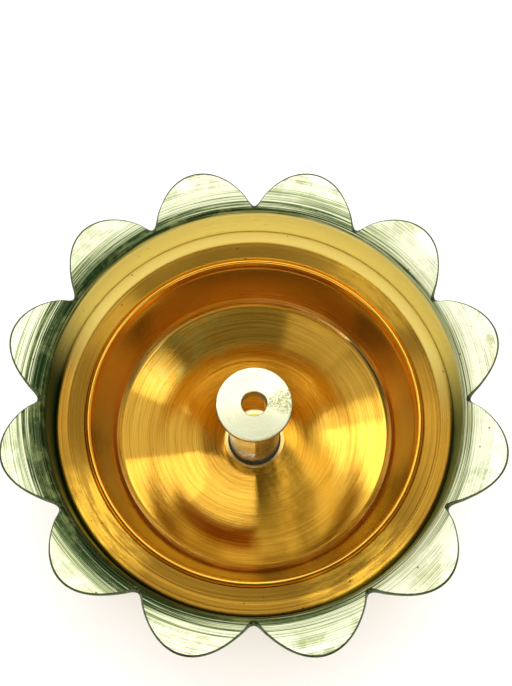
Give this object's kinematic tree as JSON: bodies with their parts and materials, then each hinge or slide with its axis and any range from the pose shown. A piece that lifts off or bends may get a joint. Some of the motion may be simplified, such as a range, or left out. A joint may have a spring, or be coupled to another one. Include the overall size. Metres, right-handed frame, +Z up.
{
  "type": "diya oil lamp",
  "caption": "Turned brass oil lamp: a dished bowl with a wide flange in a lotus cup of rounded petals, a capped wick tube in the middle and a turned foot.",
  "frame": {"origin": "middle of the foot's underside, on the table", "axes": "+Z up the lamp's axis; the viewer of the picture is on the -Y side"},
  "size_m": [0.0986, 0.0986, 0.0575],
  "materials": {
    "cap_brass": "turned",
    "tube_brass": "turned, filed at the window",
    "seal_rubber": "matt",
    "bowl_brass": "polished over turning marks",
    "petal_brass": "turned, with dark green patina at the roots",
    "foot_brass": "polished",
    "stud_brass": "machined",
    "fastener_steel": "zinc plated"
  },
  "bodies": {
    "base": {"foot": "foot_brass", "centre_stud": "stud_brass", "flat_washer": "fastener_steel", "spring_washer": "fastener_steel", "stud_nut": "fastener_steel"},
    "cup": {"lotus_cup": "petal_brass"},
    "bowl": {"oil_bowl": "bowl_brass"},
    "seal": {"seal_washer": "seal_rubber"},
    "wick_holder": {"wick_tube": "tube_brass", "wick_cap": "cap_brass"}
  },
  "joints": [
    {"name": "cup_lift", "type": "slide", "parent": "base", "child": "cup", "axis": [0, 0, 1], "range_m": [0, 0.03]},
    {"name": "bowl_lift", "type": "slide", "parent": "cup", "child": "bowl", "axis": [0, 0, 1], "range_m": [0, 0.045]},
    {"name": "holder_lift", "type": "slide", "parent": "bowl", "child": "seal", "axis": [0, 0, 1], "range_m": [0, 0.045]},
    {"name": "holder_turn", "type": "hinge", "parent": "seal", "child": "wick_holder", "pos_m": [0, 0, 0.0197], "axis": [0, 0, 1], "continuous": true}
  ]
}
